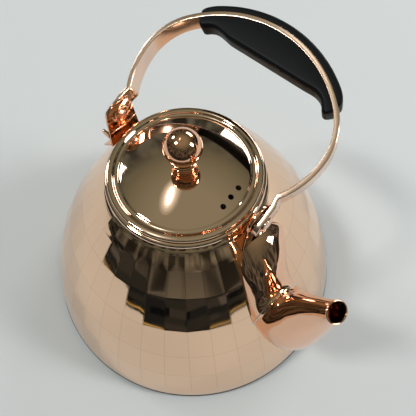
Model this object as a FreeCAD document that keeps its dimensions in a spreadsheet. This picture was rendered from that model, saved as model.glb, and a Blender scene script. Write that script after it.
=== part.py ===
import FreeCAD, Part
import math
import os

import Sketcher

os.makedirs("parts", exist_ok=True)
doc = FreeCAD.newDocument("kettle")

# ---------------------------------------------------------------- driving dimensions
# Millimetres and degrees.  +Z is up, the kettle stands on Z = 0 and the body axis is
# the Z axis.  The handle turns about a line along X; the spout points towards +X.
DIMENSIONS = {
    # vessel
    "BodyRadius": 88.0, "BodyFoot": 3.0, "BodyTop": 103.2, "DomeArc": 199.0,
    "NeckRadius": 37.7, "Wall": 0.8,
    "MouthRadius": 34.6, "CollarDepth": 5.2, "BeadRadius": 1.4, "BeadCentre": 36.2,
    "BeadLevel": 106.2,
    "CapRadius": 84.0, "CapCorner": 2.0, "CoreRadius": 82.0, "PanRim": 2.4,
    # lid
    "LidLevel": 108.0, "LidRadius": 36.0, "LidStep": 1.9, "LidBrim": 33.6,
    "LidChannel": 0.7, "LidRoll": 1.0, "DomeEdge": 29.6, "DomeLift": 1.3,
    "LidCrown": 113.2, "LidDomeArc": 114.0, "LidWall": 0.6,
    "SkirtRadius": 34.2, "SkirtDepth": 10.5, "LidTurn": 5.5,
    "SteamHole": 1.3, "SteamRow": 25.4, "SteamPitch": 5.8,
    "WhistleRadius": 8.2, "WhistleDepth": 7.0, "WhistleCentre": 24.4, "WhistleBore": 0.9,
    "WhistleWall": 0.5, "WhistleGap": 3.0,
    # knob
    "BallRadius": 8.3, "BallLevel": 126.4, "StemTop": 5.4, "StemFoot": 4.2,
    "StemHeight": 5.9, "StemFlange": 1.1, "ScrewRadius": 2.0, "WasherRim": 5.0, "ScrewHead": 3.8,
    # handle, drawn upright with its pivot line at height 0 and then swung aside
    "PivotLevel": 114.8, "HandleSwing": 66.3, "FootCentre": 44.7, "FootDrop": 6.5,
    "StrapThick": 2.4, "StrapWidth": 9.0,
    "CrownArc": 58.7, "CrownCentre": 11.3, "ShoulderArc": 28.9, "ShoulderAngle": 44.0,
    "LegArc": 40.0, "LegAngle": 31.2,
    "FootRound": 4.2, "KinkDrop": 2.0,
    "GripAngle": 42.0, "GripBelly": 55.2, "GripFlat": 23.0, "GripEnd": 6.0, "GripHollow": 24.0,
    "CoverThick": 3.0, "CoverEdge": 0.8, "CoverRound": 12.0,
    "GripScrewAt": 18.0, "GripScrewRadius": 1.4,
    # ears and pivots; the stop tabs and the weld flange belong to the rear ear
    "EarFace": 41.8, "EarThick": 1.2, "EarRadius": 8.0, "EarFoot": 98.7,
    "RivetRadius": 2.0, "RivetHead": 3.6, "HeadHeight": 1.2, "WasherThick": 0.3,
    "WasherRadius": 4.0, "PlayGap": 0.2,
    "FlangeReach": 6.5, "TabReach": 4.6, "TabLow": 11.8, "TabHigh": 7.3, "TabThick": 1.2,
    # spout
    "SpoutTurn": -8.0, "SpoutWall": 0.7, "PortLevel": 71.0, "PortRadius": 7.0,
}

sheet = doc.addObject("Spreadsheet::Sheet", "Dims")
for row, (alias, number) in enumerate(DIMENSIONS.items(), start=1):
    sheet.set(f"A{row}", alias)
    sheet.set(f"B{row}", str(number))
    sheet.setAlias(f"B{row}", alias)
doc.recompute()


class Dim:
    """A length that knows both its present value and its spreadsheet expression."""

    def __init__(self, value, text):
        self.value = value
        self.text = text

    def joined(self, other, sign, value):
        return Dim(value, f"({self.text} {sign} {as_dim(other).text})")

    def __add__(self, other):
        return self.joined(other, "+", self.value + as_dim(other).value)

    def __sub__(self, other):
        return self.joined(other, "-", self.value - as_dim(other).value)

    def __mul__(self, other):
        return self.joined(other, "*", self.value * as_dim(other).value)

    def __truediv__(self, other):
        return self.joined(other, "/", self.value / as_dim(other).value)

    def __neg__(self):
        return Dim(-self.value, f"(0 - {self.text})")


def as_dim(number):
    return number if isinstance(number, Dim) else Dim(float(number), repr(float(number)))


def sine(angle):
    return Dim(math.sin(math.radians(angle.value)), f"sin({angle.text})")


def cosine(angle):
    return Dim(math.cos(math.radians(angle.value)), f"cos({angle.text})")


D = {name: Dim(number, f"Dims.{name}") for name, number in DIMENSIONS.items()}


# ---------------------------------------------------------------- drawing helpers
def new_body(label):
    body = doc.addObject("PartDesign::Body", label)
    body.Label = label
    return body


def plane_of(body, role):
    return next(f for f in body.Origin.OriginFeatures if f.Role == role)


def new_sketch(body, role, shift=0.0):
    """A sketch on one of the body's own planes, moved along the plane's normal."""
    sketch = body.newObject("Sketcher::SketchObject", "Sketch")
    sketch.AttachmentSupport = [(plane_of(body, role), "")]
    sketch.MapMode = "FlatFace"
    shift = as_dim(shift)
    offset = FreeCAD.Vector(0, 0, shift.value)
    sketch.AttachmentOffset = FreeCAD.Placement(offset, FreeCAD.Rotation())
    if shift.text != repr(shift.value):
        sketch.setExpression("AttachmentOffset.Base.z", shift.text)
    return sketch


def pin(sketch, geometry, end, kind, dim):
    """Fixes one coordinate of a vertex, bound to its expression."""
    axis = -2 if kind == "DistanceX" else -1
    if abs(dim.value) < 1e-9:
        sketch.addConstraint(Sketcher.Constraint("PointOnObject", geometry, end, axis))
        return
    index = sketch.addConstraint(Sketcher.Constraint(kind, -1, 1, geometry, end, dim.value))
    sketch.setExpression(f"Constraints[{index}]", dim.text)


def draw_outline(sketch, corners):
    """Closed outline.  A corner is (x, y), or (x, y, radius) when an arc of that radius
    leads to it: a positive radius turns left on the way there, a negative one right."""
    points = [(as_dim(c[0]), as_dim(c[1])) for c in corners]
    bends = [as_dim(c[2]) if len(c) > 2 else None for c in corners]
    ends = []
    for i, (x1, y1) in enumerate(points):
        x0, y0 = points[i - 1]
        start = FreeCAD.Vector(x0.value, y0.value, 0)
        stop = FreeCAD.Vector(x1.value, y1.value, 0)
        bend = bends[i]
        if bend is None:
            geometry = sketch.addGeometry(Part.LineSegment(start, stop), False)
            ends.append((geometry, 1, 2))
            continue
        radius = abs(bend.value)
        chord = stop - start
        rise = math.sqrt(max(radius ** 2 - chord.Length ** 2 / 4, 0.0))
        side = FreeCAD.Vector(-chord.y, chord.x, 0).normalize() * math.copysign(rise, bend.value)
        centre = (start + stop) * 0.5 + side
        first, last = (start, stop) if bend.value > 0 else (stop, start)
        a0 = math.atan2(first.y - centre.y, first.x - centre.x)
        a1 = math.atan2(last.y - centre.y, last.x - centre.x)
        circle = Part.Circle(centre, FreeCAD.Vector(0, 0, 1), radius)
        if a1 <= a0:
            a1 += 2 * math.pi
        geometry = sketch.addGeometry(Part.ArcOfCircle(circle, a0, a1), False)
        if rise > 1e-6:
            index = sketch.addConstraint(Sketcher.Constraint("Radius", geometry, radius))
            text = bend.text if bend.value > 0 else (-bend).text
            sketch.setExpression(f"Constraints[{index}]", text)
        elif abs(chord.x) < 1e-6:
            # a half circle on an upright chord: its centre is held level with the middle
            pin(sketch, geometry, 3, "DistanceX", (x0 + x1) / 2)
        else:
            pin(sketch, geometry, 3, "DistanceY", (y0 + y1) / 2)
        ends.append((geometry, 1, 2) if bend.value > 0 else (geometry, 2, 1))
    for i, (geometry, _, end) in enumerate(ends):
        following = ends[(i + 1) % len(ends)]
        joint = (geometry, end, following[0], following[1])
        sketch.addConstraint(Sketcher.Constraint("Coincident", *joint))
        pin(sketch, geometry, end, "DistanceX", points[i][0])
        pin(sketch, geometry, end, "DistanceY", points[i][1])


def draw_circle(sketch, x, y, radius):
    x, y, radius = as_dim(x), as_dim(y), as_dim(radius)
    centre = FreeCAD.Vector(x.value, y.value, 0)
    geometry = sketch.addGeometry(Part.Circle(centre, FreeCAD.Vector(0, 0, 1), radius.value), False)
    index = sketch.addConstraint(Sketcher.Constraint("Radius", geometry, radius.value))
    sketch.setExpression(f"Constraints[{index}]", radius.text)
    pin(sketch, geometry, 3, "DistanceX", x)
    pin(sketch, geometry, 3, "DistanceY", y)


def spin(body, corners):
    """Turns an outline in the XZ plane about the body's Z axis."""
    sketch = new_sketch(body, "XZ_Plane")
    draw_outline(sketch, corners)
    turned = body.newObject("PartDesign::Revolution", "Revolution")
    turned.Profile = sketch
    turned.ReferenceAxis = (sketch, ["V_Axis"])
    turned.Angle = 360.0
    doc.recompute()
    return turned


def groove(body, corners):
    """Cuts an outline in the XZ plane away, all round the body's Z axis."""
    sketch = new_sketch(body, "XZ_Plane")
    draw_outline(sketch, corners)
    before = body.Shape.Volume
    cut = body.newObject("PartDesign::Groove", "Groove")
    cut.Profile = sketch
    cut.ReferenceAxis = (sketch, ["V_Axis"])
    cut.Angle = 360.0
    doc.recompute()
    assert body.Shape.Volume < before, f"{body.Label}: groove cuts nothing"
    return cut


def pad(body, role, draw, length, shift=0.0, midplane=False, backward=False):
    sketch = new_sketch(body, role, shift)
    draw(sketch)
    solid = body.newObject("PartDesign::Pad", "Pad")
    solid.Profile = sketch
    solid.Length = as_dim(length).value
    solid.setExpression("Length", as_dim(length).text)
    solid.Midplane = midplane
    solid.Reversed = backward
    doc.recompute()
    return solid


def pocket(body, role, draw, shift=0.0, length=None, backward=False):
    """Cuts right through both ways, or only `length` deep when one is given."""
    sketch = new_sketch(body, role, shift)
    draw(sketch)
    before = body.Shape.Volume
    cut = body.newObject("PartDesign::Pocket", "Pocket")
    cut.Profile = sketch
    if length is None:
        cut.Type = "ThroughAll"
        cut.Midplane = True
    else:
        cut.Length = as_dim(length).value
        cut.setExpression("Length", as_dim(length).text)
        cut.Reversed = backward
    doc.recompute()
    assert body.Shape.Volume < before, f"{body.Label}: pocket cuts nothing"
    return cut


def fillet(body, radius, wanted):
    """Rounds the edges of the body's tip for which wanted(edge) is true."""
    tip = body.Tip
    names = [f"Edge{i}" for i, edge in enumerate(tip.Shape.Edges, start=1) if wanted(edge)]
    assert names, f"{body.Label}: no edge to round"
    rounded = body.newObject("PartDesign::Fillet", "Fillet")
    rounded.Base = (tip, names)
    rounded.Radius = as_dim(radius).value
    rounded.setExpression("Radius", as_dim(radius).text)
    doc.recompute()
    return rounded


def turn_about_z(body, angle):
    rotation = FreeCAD.Rotation(FreeCAD.Vector(0, 0, 1), angle.value)
    body.Placement = FreeCAD.Placement(FreeCAD.Vector(), rotation)
    body.setExpression("Placement.Rotation.Angle", angle.text)


# ---------------------------------------------------------------- vessel
def dome_region():
    """Outline of everything inside the outer face of the domed body."""
    top = D["BodyTop"] + 12
    foot = D["BodyFoot"]
    return [
        (0, foot - 1), (D["BodyRadius"], foot - 1), (D["BodyRadius"], foot),
        (D["NeckRadius"], D["BodyTop"], D["DomeArc"]), (D["NeckRadius"], top), (0, top),
    ]


def make_body_shell():
    body = new_body("body_shell")
    foot_in = D["BodyRadius"] - D["Wall"]
    neck_in = D["NeckRadius"] - D["Wall"]
    spin(body, [
        (foot_in, D["BodyFoot"], -D["DomeArc"]), (D["BodyRadius"], D["BodyFoot"]),
        (D["NeckRadius"], D["BodyTop"], D["DomeArc"]), (neck_in, D["BodyTop"]),
    ])

    # pouring port through the wall behind the spout
    def port(sketch):
        draw_circle(sketch, 0, D["PortLevel"], D["PortRadius"])

    pocket(body, "YZ_Plane", port, shift=40.0, length=45.0, backward=True)
    turn_about_z(body, D["SpoutTurn"])


def make_base():
    pan = new_body("base_pan")
    floor = D["BodyFoot"]
    # the short rim leans in with the foot of the body wall that it is welded to
    rim_foot = D["BodyRadius"] - D["Wall"] - 0.02
    rim_top = rim_foot - D["PanRim"] * 0.22
    top = floor + D["PanRim"]
    spin(pan, [
        (0, floor), (rim_foot, floor), (rim_top, top), (rim_top - D["Wall"], top),
        (rim_foot - D["Wall"], floor + D["Wall"]), (0, floor + D["Wall"]),
    ])
    cap = new_body("base_cap")
    outer = D["CapRadius"]
    corner = D["CapCorner"]
    spin(cap, [
        (0, 0), (outer - corner, 0), (outer, corner, corner), (outer, floor),
        (outer - D["Wall"], floor), (outer - D["Wall"], corner),
        (outer - corner, D["Wall"], D["Wall"] - corner), (0, D["Wall"]),
    ])
    core = new_body("heat_spreader_disc")
    spin(core, [(0, D["Wall"]), (D["CoreRadius"], D["Wall"]), (D["CoreRadius"], floor), (0, floor)])


def make_neck_ring():
    body = new_body("neck_ring")
    inner = D["MouthRadius"]
    tube = inner + D["Wall"]
    seat = D["NeckRadius"] - D["Wall"]
    foot = D["BodyTop"] - D["CollarDepth"]
    spin(body, [
        (inner, foot), (tube, foot), (tube, D["BodyTop"] - 1), (seat, D["BodyTop"] - 1),
        (seat, D["BodyTop"]), (D["BeadCentre"], D["BodyTop"] + 0.7),
        (D["BeadCentre"], D["BeadLevel"] - D["BeadRadius"]),
        (D["BeadCentre"], D["BeadLevel"] + D["BeadRadius"], D["BeadRadius"]),
        (inner, D["BeadLevel"] + D["BeadRadius"]),
    ])


# ---------------------------------------------------------------- lid
def make_lid():
    cover = new_body("lid_cover")
    brim = D["LidLevel"] + D["LidStep"]
    channel = D["LidLevel"] + D["LidChannel"]
    edge = D["LidLevel"] + D["DomeLift"]
    roll = D["LidRoll"]
    thick = D["LidWall"]
    bore = D["ScrewRadius"] + 0.1
    spin(cover, [
        (D["LidRadius"] - thick, D["LidLevel"]), (D["LidRadius"], D["LidLevel"]),
        (D["LidRadius"], brim - roll), (D["LidRadius"] - roll, brim, roll),
        (D["LidBrim"], brim), (D["LidBrim"] - 1.2, channel, -1.7),
        (D["DomeEdge"] + 0.8, channel), (D["DomeEdge"], edge, -1),
        (bore, D["LidCrown"], D["LidDomeArc"]), (bore, D["LidCrown"] - thick),
        (D["DomeEdge"] - 0.2, edge - thick, -D["LidDomeArc"]), (D["DomeEdge"] + 0.6, channel - thick),
        (D["LidBrim"] - 0.9, channel - thick), (D["LidBrim"] + 0.3, brim - thick),
        (D["LidRadius"] - thick, brim - thick - 0.4),
    ])

    def steam_holes(sketch):
        for k in (-1, 0, 1):
            draw_circle(sketch, D["SteamRow"], D["SteamPitch"] * k, D["SteamHole"])

    pocket(cover, "XY_Plane", steam_holes)
    turn_about_z(cover, D["LidTurn"])

    skirt = new_body("lid_skirt")
    seat = D["DomeEdge"] + 1
    top = channel - thick
    foot = D["LidLevel"] - D["SkirtDepth"]
    wall_in = D["SkirtRadius"] - thick
    spin(skirt, [
        (wall_in, foot), (D["SkirtRadius"], foot), (D["SkirtRadius"], top),
        (seat, top), (seat, top - thick), (wall_in, top - thick),
    ])

    cup_top = D["LidLevel"] - 0.6
    cup_foot = cup_top - D["WhistleDepth"]

    def turned_disc(label, profile):
        body = new_body(label)
        spin(body, profile)
        # the whistle hangs under the row of steam holes
        angle = math.radians(D["LidTurn"].value)
        reach = D["WhistleCentre"].value
        body.Placement.Base = FreeCAD.Vector(reach * math.cos(angle), reach * math.sin(angle), 0)
        body.setExpression("Placement.Base.x", (D["WhistleCentre"] * cosine(D["LidTurn"])).text)
        body.setExpression("Placement.Base.y", (D["WhistleCentre"] * sine(D["LidTurn"])).text)

    wall = D["WhistleWall"]
    outer = D["WhistleRadius"]
    inner = outer - wall
    lip = inner - wall * 3
    ledge = cup_foot + wall
    turned_disc("whistle_cup", [
        (lip, cup_foot), (outer, cup_foot), (outer, cup_top), (inner, cup_top),
        (inner, ledge), (lip, ledge),
    ])
    bore = D["WhistleBore"]
    levels = {"whistle_lower_disc": ledge, "whistle_upper_disc": ledge + D["WhistleGap"]}
    for label, level in levels.items():
        turned_disc(label, [
            (bore, level), (inner, level), (inner, level + wall), (bore, level + wall),
        ])


def make_knob():
    stem = new_body("knob_stem")
    foot = D["LidCrown"]
    bore = D["ScrewRadius"] + 0.1
    flange = foot + D["StemFlange"]
    rib = (D["StemHeight"] - D["StemFlange"]) / 3
    grow = (D["StemTop"] - D["StemFoot"]) / 3
    wide = D["StemFoot"] + 0.8
    profile = [(bore, foot), (wide, foot), (wide, foot + 0.6), (D["StemFoot"], flange)]
    # three rolled ribs, each a little wider than the one below
    for k in range(3):
        radius = D["StemFoot"] + grow * k
        top = flange + rib * (k + 1)
        profile.append((radius, top - 0.3, rib * 0.55))
        profile.append((radius + grow * 0.8, top))
    seat = flange + rib * 3
    profile.append((bore, seat))
    spin(stem, profile)

    ball = new_body("knob_ball")
    flat = math.sqrt(D["BallRadius"].value ** 2 - (D["BallLevel"].value - seat.value) ** 2)
    crown = D["BallLevel"] + D["BallRadius"]
    bore_top = D["BallLevel"] - 1
    spin(ball, [
        (D["ScrewRadius"] + 0.03, seat), (flat, seat), (0, crown, D["BallRadius"]),
        (0, bore_top), (D["ScrewRadius"] + 0.03, bore_top),
    ])

    # washer and screw under the lid; the dome falls away from its crown under the washer's rim
    upper = D["LidCrown"] - D["LidWall"] - 0.15
    lower = upper - 0.5
    rim = D["WasherRim"]
    washer = new_body("knob_washer")
    spin(washer, [(bore, lower), (rim, lower), (rim, upper), (bore, upper)])
    screw = new_body("knob_screw")
    head = D["ScrewHead"]
    shank = D["ScrewRadius"]
    spin(screw, [
        (0, lower - 1.8), (head - 0.6, lower - 1.8), (head, lower - 0.8), (head, lower),
        (shank, lower), (shank, bore_top - 0.5), (0, bore_top - 0.5),
    ])


# ---------------------------------------------------------------- handle
def swing(body):
    """Lifts an upright handle part to the pivot line and swings it aside."""
    turn = FreeCAD.Rotation(FreeCAD.Vector(1, 0, 0), -D["HandleSwing"].value)
    body.Placement = FreeCAD.Placement(FreeCAD.Vector(0, 0, D["PivotLevel"].value), turn)
    body.setExpression("Placement.Base.z", D["PivotLevel"].text)
    body.setExpression("Placement.Rotation.Angle", D["HandleSwing"].text)
    body.setExpression("Placement.Rotation.Axis.x", "-1")


def crown_point(angle, radius):
    return radius * sine(angle), D["CrownCentre"] + radius * cosine(angle)


def strap_edge(side):
    """Corners of one long edge of the strap's outline from the +X foot over the crown to
    the -X foot; side is +1 for the outer face and -1 for the inner one."""
    half = D["StrapThick"] * (side / 2)
    crown = D["CrownArc"] + half
    shoulder = D["ShoulderArc"] + half
    leg = D["LegArc"] + half
    centre_x = (D["CrownArc"] - D["ShoulderArc"]) * sine(D["ShoulderAngle"])
    centre_z = D["CrownCentre"] + (D["CrownArc"] - D["ShoulderArc"]) * cosine(D["ShoulderAngle"])
    bulge_x = centre_x + shoulder
    foot_x = D["FootCentre"] + half
    leg_x = bulge_x - leg + leg * cosine(D["LegAngle"])
    leg_z = centre_z - leg * sine(D["LegAngle"])
    top_x, top_z = crown_point(D["ShoulderAngle"], crown)
    kink = leg_z - D["KinkDrop"] + side * 0.4
    return [
        (foot_x, -D["FootDrop"]), (foot_x, kink), (leg_x, leg_z), (bulge_x, centre_z, leg),
        (top_x, top_z, shoulder), (-top_x, top_z, crown), (-bulge_x, centre_z, shoulder),
        (-leg_x, leg_z, leg), (-foot_x, kink), (-foot_x, -D["FootDrop"]),
    ]


def reversed_edge(corners):
    """The same corners in the other direction, with each arc turning the other way."""
    result = []
    for i in range(len(corners) - 1, -1, -1):
        point = corners[i][:2]
        arrives_by = corners[i + 1] if i + 1 < len(corners) else ()
        result.append(point + ((-arrives_by[2],) if len(arrives_by) > 2 else ()))
    return result


def grip_screw_holes(sketch):
    for side in (-1, 1):
        draw_circle(sketch, D["GripScrewAt"] * side, 0, D["GripScrewRadius"] + 0.05)


def make_strap():
    strap = new_body("handle_strap")
    outline = strap_edge(1) + reversed_edge(strap_edge(-1))
    pad(strap, "XZ_Plane", lambda sketch: draw_outline(sketch, outline), D["StrapWidth"], midplane=True)

    def foot_corner(edge):
        box = edge.BoundBox
        across = abs(box.XLength - D["StrapThick"].value) < 0.01 and box.ZLength < 0.01
        return across and abs(box.ZMin + D["FootDrop"].value) < 0.01 and box.YLength < 0.01

    fillet(strap, D["FootRound"], foot_corner)
    pocket(strap, "YZ_Plane", lambda sketch: draw_circle(sketch, 0, 0, D["RivetRadius"] + 0.05))
    pocket(strap, "XY_Plane", grip_screw_holes, shift=D["GripBelly"], length=30, backward=True)
    swing(strap)


def make_grip():
    inner = new_body("grip_inner")
    top = D["CrownArc"] - D["StrapThick"] / 2
    end_x, end_z = crown_point(D["GripAngle"], top)
    low_x, low_z = crown_point(D["GripAngle"], top - D["GripEnd"])
    flat = D["GripFlat"]
    hollow = -D["GripHollow"]
    pad(inner, "XZ_Plane", lambda sketch: draw_outline(sketch, [
        (end_x, end_z), (-end_x, end_z, top), (-low_x, low_z), (-flat, D["GripBelly"], hollow),
        (flat, D["GripBelly"]), (low_x, low_z, hollow),
    ]), D["StrapWidth"], midplane=True)
    pocket(inner, "XY_Plane", grip_screw_holes, shift=D["GripBelly"] - 5, length=40, backward=True)

    def head_recess(sketch):
        for side in (-1, 1):
            draw_circle(sketch, D["GripScrewAt"] * side, 0, D["GripScrewRadius"] + 1.1)

    pocket(inner, "XY_Plane", head_recess, shift=D["GripBelly"] - 5, length=8, backward=True)
    swing(inner)

    cover = new_body("grip_cover")
    seat = D["CrownArc"] + D["StrapThick"] / 2 + 0.02
    crown = seat + D["CoverThick"]
    seat_x, seat_z = crown_point(D["GripAngle"], seat)
    edge_x, edge_z = crown_point(D["GripAngle"], seat + D["CoverEdge"])
    full_x, full_z = crown_point(D["GripAngle"] - 5, crown)
    nose = D["CoverRound"]
    pad(cover, "XZ_Plane", lambda sketch: draw_outline(sketch, [
        (seat_x, seat_z, -seat), (edge_x, edge_z), (full_x, full_z, nose), (-full_x, full_z, crown),
        (-edge_x, edge_z, nose), (-seat_x, seat_z),
    ]), D["StrapWidth"], midplane=True)
    # the outer long edges are rounded so that the cover is crowned across its width
    top = crown.value + D["CrownCentre"].value

    def long_outer(edge):
        box = edge.BoundBox
        return box.YLength < 0.01 and box.XLength > top / 2 and box.ZMax > top - 0.1

    fillet(cover, 1.8, long_outer)
    pocket(cover, "XY_Plane", grip_screw_holes, shift=D["GripBelly"], length=15.6, backward=True)
    swing(cover)

    screws = doc.addObject("Part::MultiFuse", "grip_screws")
    screws.Label = "grip_screws"
    pieces = []
    radius = D["GripScrewRadius"]
    belly = D["GripBelly"]
    cylinders = (("Shank", radius, belly + 3, 12.0), ("Head", radius + 1, belly + 1, 2.0))
    for side in (-1, 1):
        for tag, radius, start, length in cylinders:
            piece = doc.addObject("Part::Cylinder", f"Screw{tag}")
            piece.setExpression("Radius", radius.text)
            piece.Height = length
            piece.Placement.Base = FreeCAD.Vector(D["GripScrewAt"].value * side, 0, start.value)
            piece.setExpression("Placement.Base.x", (D["GripScrewAt"] * side).text)
            piece.setExpression("Placement.Base.z", start.text)
            pieces.append(piece)
    screws.Shapes = pieces
    doc.recompute()
    swing(screws)


def make_ear(label, side):
    """Upright plate with a round top that carries one pivot; side is +1 front, -1 rear."""
    ear = new_body(label)
    pivot = D["PivotLevel"]
    foot_half = D["EarRadius"] + 1.5

    def plate(sketch):
        draw_outline(sketch, [
            (-foot_half, D["EarFoot"]), (foot_half, D["EarFoot"]), (D["EarRadius"], pivot),
            (-D["EarRadius"], pivot, D["EarRadius"]),
        ])

    start = D["EarFace"] if side > 0 else -(D["EarFace"] + D["EarThick"])
    pad(ear, "YZ_Plane", plate, D["EarThick"], shift=start)
    if side < 0:
        # foot flange welded to the shoulder of the body, and two tabs that stop the handle
        low = D["EarFoot"]
        out = -(D["EarFace"] + D["EarThick"])
        reach = D["FlangeReach"]
        pad(ear, "XZ_Plane", lambda sketch: draw_outline(sketch, [
            (out, low), (out - reach, low - reach - 0.1), (out - reach - 0.9, low - reach + 0.7),
            (out, low + 1.6),
        ]), foot_half * 2, midplane=True)
        inner = out + 0.8
        tip = out - D["TabReach"]
        thick = D["TabThick"]
        for edge in (D["EarRadius"], -D["EarRadius"] - thick):
            pad(ear, "XZ_Plane", lambda sketch: draw_outline(sketch, [
                (inner, pivot - D["TabLow"]), (inner, pivot - D["TabHigh"]),
                (tip, pivot - D["TabHigh"] - 0.5), (tip, pivot - D["TabLow"] + 0.5),
            ]), thick, shift=edge)
    pocket(ear, "YZ_Plane", lambda sketch: draw_circle(sketch, 0, pivot, D["RivetRadius"] + 0.02))
    return ear


def make_pivot(label, side):
    """Rivet along X with a domed head outside the strap and a set head inside the ear."""
    rivet = new_body(label)
    inside = D["EarFace"]
    outside = D["FootCentre"] + D["StrapThick"] / 2 + D["PlayGap"]
    shank = D["RivetRadius"]
    head = D["RivetHead"]
    rim = D["HeadHeight"] / 3
    rise = D["HeadHeight"] - rim
    dome = (head * head + rise * rise) / (rise * 2)
    set_head = head - 0.4
    spin(rivet, [
        (0, inside - 1), (set_head - 0.6, inside - 1), (set_head, inside - 0.5), (set_head, inside),
        (shank, inside), (shank, outside), (head, outside), (head, outside + rim),
        (0, outside + D["HeadHeight"], dome),
    ])
    lay_along_x(rivet, side)


def make_washer(label, side):
    washer = new_body(label)
    start = D["EarFace"] + D["EarThick"]
    bore = D["RivetRadius"] + 0.05
    spin(washer, [
        (bore, start), (D["WasherRadius"], start), (D["WasherRadius"], start + D["WasherThick"]),
        (bore, start + D["WasherThick"]),
    ])
    lay_along_x(washer, side)


def lay_along_x(body, side):
    """Turns a part drawn about Z so that its axis is the pivot line, towards side * X."""
    turn = FreeCAD.Rotation(FreeCAD.Vector(0, 1, 0), 90.0 * side)
    body.Placement = FreeCAD.Placement(FreeCAD.Vector(0, 0, D["PivotLevel"].value), turn)
    body.setExpression("Placement.Base.z", D["PivotLevel"].text)


# ---------------------------------------------------------------- spout
# Stations along the spout in its own upright plane: x, z, half width across, half height,
# and the heading of the centre line in degrees above +X.  The boot flattens towards its
# root; the neck is round all the way.
BOOT = [
    (40.0, 88.0, 15.0, 10.0, -38.0),
    (50.0, 78.0, 14.0, 12.0, -42.0),
    (58.0, 69.0, 13.8, 13.0, -32.0),
    (65.97, 65.0, 13.6, 13.6, 0.0),
]
NECK = [
    (66.0, 65.0, 13.5, 13.5, 0.0),
    (75.0, 71.5, 12.6, 12.6, 56.0),
    (80.5, 86.0, 10.0, 10.0, 74.0),
    (84.0, 102.0, 7.0, 7.0, 76.0),
    (88.8, 119.3, 4.9, 4.9, 62.0),
]


def loft(body, stations, shrink, kind):
    """Lofts rounds across the centre line; shrink takes the wall off for the bore."""
    sections = []
    for x, z, across, high, heading in stations:
        sketch = body.newObject("Sketcher::SketchObject", "Section")
        sketch.AttachmentSupport = [(plane_of(body, "YZ_Plane"), "")]
        sketch.MapMode = "FlatFace"
        # local x is +Y, local y is +Z and the normal is +X until the heading tilts it
        tilt = FreeCAD.Rotation(FreeCAD.Vector(1, 0, 0), -heading)
        sketch.AttachmentOffset = FreeCAD.Placement(FreeCAD.Vector(0, z, x), tilt)
        if across == high:
            draw_circle(sketch, 0, 0, as_dim(high) - shrink)
        else:
            wide = FreeCAD.Vector(across - shrink.value, 0, 0)
            tall = FreeCAD.Vector(0, high - shrink.value, 0)
            sketch.addGeometry(Part.Ellipse(wide, tall, FreeCAD.Vector()), False)
        sections.append(sketch)
    solid = body.newObject(kind, "Loft")
    solid.Profile = sections[0]
    solid.Sections = sections[1:]
    solid.Ruled = False
    doc.recompute()
    return solid


def make_spout():
    for label, stations in (("spout_boot", BOOT), ("spout_neck", NECK)):
        body = new_body(label)
        loft(body, stations, as_dim(0), "PartDesign::AdditiveLoft")
        loft(body, stations, D["SpoutWall"], "PartDesign::SubtractiveLoft")
        groove(body, dome_region())
        turn_about_z(body, D["SpoutTurn"])


# ---------------------------------------------------------------- build, check, write
make_body_shell()
make_base()
make_neck_ring()
make_lid()
make_knob()
make_strap()
make_grip()
for place, side in (("front", 1), ("rear", -1)):
    make_ear(f"{place}_ear", side)
    make_pivot(f"{place}_pivot_rivet", side)
    make_washer(f"{place}_pivot_washer", side)
make_spout()
doc.recompute()

for item in doc.Objects:
    bad = [state for state in item.State if state in ("Invalid", "Error")]
    assert not bad, f"{item.Label}: {bad}"

nodes = [item for item in doc.Objects
         if item.TypeId == "PartDesign::Body" or item.Label == "grip_screws"]
for node in nodes:
    shape = node.Shape
    assert not shape.isNull() and shape.isValid(), f"{node.Label}: bad shape"
    shape.exportStep(f"parts/{node.Label}.step")
    box = shape.BoundBox
    spans = f"x {box.XMin:6.1f} {box.XMax:6.1f}  y {box.YMin:6.1f} {box.YMax:6.1f}"
    print(f"{node.Label:24s} solids {len(shape.Solids)}  volume {shape.Volume:9.1f}  "
          f"{spans}  z {box.ZMin:6.1f} {box.ZMax:6.1f}")
print(len(nodes), "nodes")
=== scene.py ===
import math
import random

import bmesh
import bpy
from mathutils import Matrix, Vector


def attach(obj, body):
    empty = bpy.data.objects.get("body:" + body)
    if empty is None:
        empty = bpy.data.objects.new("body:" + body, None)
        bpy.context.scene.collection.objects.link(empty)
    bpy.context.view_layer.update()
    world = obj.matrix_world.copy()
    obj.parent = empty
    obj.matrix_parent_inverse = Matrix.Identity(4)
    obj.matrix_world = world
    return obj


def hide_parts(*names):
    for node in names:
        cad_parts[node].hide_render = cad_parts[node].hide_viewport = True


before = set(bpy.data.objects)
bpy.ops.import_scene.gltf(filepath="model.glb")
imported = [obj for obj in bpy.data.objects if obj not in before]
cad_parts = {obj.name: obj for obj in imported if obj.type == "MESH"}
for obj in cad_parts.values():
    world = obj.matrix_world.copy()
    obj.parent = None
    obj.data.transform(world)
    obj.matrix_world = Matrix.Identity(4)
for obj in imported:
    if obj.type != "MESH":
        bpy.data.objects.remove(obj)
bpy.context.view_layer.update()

# Lengths below are in millimetres and angles in degrees, in the frame of the CAD model:
# +Z up, the body's axis on Z, the handle's pivot line along X.  MM turns them into metres.
MM = 0.001

BODY_RADIUS, BODY_FOOT = 88.0, 3.0
NECK_RADIUS, BODY_TOP = 37.7, 103.2
DOME_ARC = 199.0
WALL = 0.8
MOUTH_RADIUS = 34.6
BEAD_RADIUS, BEAD_CENTRE, BEAD_LEVEL = 1.4, 36.2, 106.2

GORES = 37                  # flat upright facets round the body
GORE_START = -57.8          # azimuth of one facet's edge
GORE_FOOT, GORE_TOP = 15.0, 95.5
GORE_ROWS = (15.0, 32.0, 49.5, 67.0, 84.0, 95.5)
BODY_LOW = 5.6              # the visible wall starts here, above the dark ring of painted shadow at the base seam

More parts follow.
